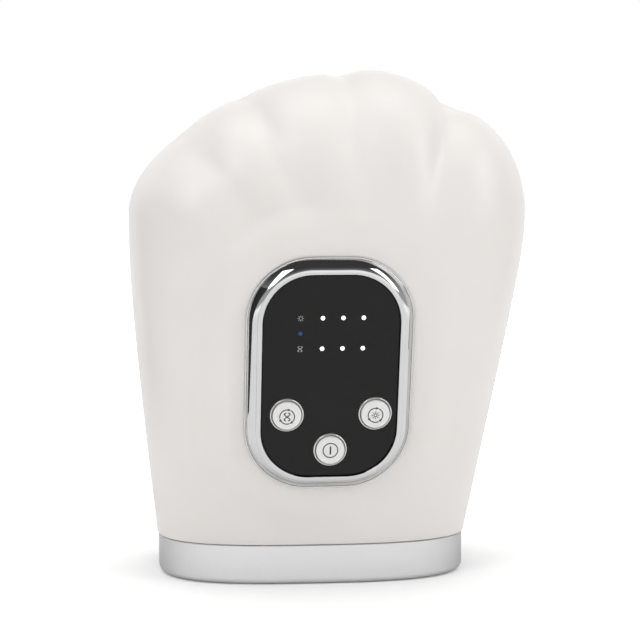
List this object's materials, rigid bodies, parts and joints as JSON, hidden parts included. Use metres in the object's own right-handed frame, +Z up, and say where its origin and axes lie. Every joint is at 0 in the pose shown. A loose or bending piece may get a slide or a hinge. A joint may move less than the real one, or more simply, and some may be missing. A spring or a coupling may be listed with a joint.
{
  "type": "hand massager",
  "caption": "Mitten-shaped hand massager with finger ridges, an oval control panel, a silver wrist collar and an air-cell cavity for the hand.",
  "frame": {"origin": "on the floor plane under the collar's rim, below the middle of the whole massager's bounding box", "axes": "+Z up from the wrist opening to the fingertips, -Y out of the control panel, +Y out of the palm side, +X toward the thumb side"},
  "size_m": [0.1536, 0.1071, 0.1968],
  "materials": {
    "pearl_white": "satin",
    "silver_paint": "satin",
    "chrome": "plated",
    "black_gloss": "gloss",
    "button_silver": "satin",
    "light_white": "clear",
    "grey_plastic": "matte",
    "black_plastic": "matte",
    "liner_fabric": "woven",
    "air_cell_film": "satin",
    "heater_orange": "satin",
    "silicone": "matte",
    "board_green": "satin",
    "steel": "satin",
    "battery_blue": "wrapped",
    "foam": "matte",
    "wire_red": "satin"
  },
  "bodies": {
    "housing": {"front_shell": "pearl_white", "back_shell": "pearl_white", "wrist_collar": "silver_paint", "mouth_ring": "grey_plastic", "hand_arch": "grey_plastic", "palm_tray": "grey_plastic", "palm_pad": "silicone", "upper_air_cell": "air_cell_film", "panel_bezel": "chrome", "panel_fascia": "black_gloss", "panel_gasket": "foam", "panel_carrier": "black_plastic", "light_guide": "light_white", "control_board": "board_green", "power_button_ring": "chrome", "pressure_button_ring": "chrome", "heat_button_ring": "chrome", "power_switch": "black_plastic", "pressure_switch": "black_plastic", "heat_switch": "black_plastic", "chassis_plate": "grey_plastic", "main_board": "board_green", "battery_cell_low": "battery_blue", "battery_cell_top": "battery_blue", "battery_holder": "black_plastic", "pump_head": "black_plastic", "pump_motor": "steel", "pump_bracket": "steel", "air_manifold": "grey_plastic", "inflate_valve": "steel", "release_valve": "steel", "pump_hose": "silicone", "inflate_hose": "silicone", "release_hose": "silicone", "cell_hose": "silicone", "charge_port": "steel", "charge_board": "board_green", "battery_lead": "wire_red", "motor_lead": "wire_red", "charge_lead": "wire_red", "shell_screw_1": "steel", "chassis_screw_1": "steel", "rubber_foot_1": "silicone", "shell_screw_2": "steel", "chassis_screw_2": "steel", "rubber_foot_2": "silicone", "shell_screw_3": "steel", "chassis_screw_3": "steel", "rubber_foot_3": "silicone", "shell_screw_4": "steel", "chassis_screw_4": "steel", "rubber_foot_4": "silicone"},
    "power_button": {"power_button": "button_silver"},
    "pressure_button": {"pressure_button": "button_silver"},
    "heat_button": {"heat_button": "button_silver"},
    "pump_rotor": {"pump_rotor": "steel"},
    "inflate_plunger": {"inflate_valve_plunger": "steel"},
    "release_plunger": {"release_valve_plunger": "steel"},
    "upper_pad": {"upper_lining": "liner_fabric", "heating_film": "heater_orange"}
  },
  "joints": [
    {"name": "power_press", "type": "slide", "parent": "housing", "child": "power_button", "axis": [-0.0514, 0.9803, 0.1908], "range_m": [0, 0.0005], "stiffness_N_per_m": 400, "springref_m": -0.0005},
    {"name": "pressure_press", "type": "slide", "parent": "housing", "child": "pressure_button", "axis": [-0.0514, 0.9803, 0.1908], "range_m": [0, 0.0005], "stiffness_N_per_m": 400, "springref_m": -0.0005},
    {"name": "heat_press", "type": "slide", "parent": "housing", "child": "heat_button", "axis": [-0.0514, 0.9803, 0.1908], "range_m": [0, 0.0005], "stiffness_N_per_m": 400, "springref_m": -0.0005},
    {"name": "pump_spin", "type": "hinge", "parent": "housing", "child": "pump_rotor", "pos_m": [0.0356, -0.0269, 0.146], "axis": [1, 0, 0], "continuous": true},
    {"name": "inflate_valve_lift", "type": "slide", "parent": "housing", "child": "inflate_plunger", "axis": [0, 0, 1], "range_m": [0, 0.0012], "stiffness_N_per_m": 150, "springref_m": -0.001},
    {"name": "release_valve_lift", "type": "slide", "parent": "housing", "child": "release_plunger", "axis": [0, 0, 1], "range_m": [0, 0.0012], "stiffness_N_per_m": 150, "springref_m": -0.001},
    {"name": "air_cell_fill", "type": "slide", "parent": "housing", "child": "upper_pad", "axis": [0, 1, 0], "range_m": [0, 0.008], "stiffness_N_per_m": 60, "deforming": ["upper_air_cell"]}
  ]
}
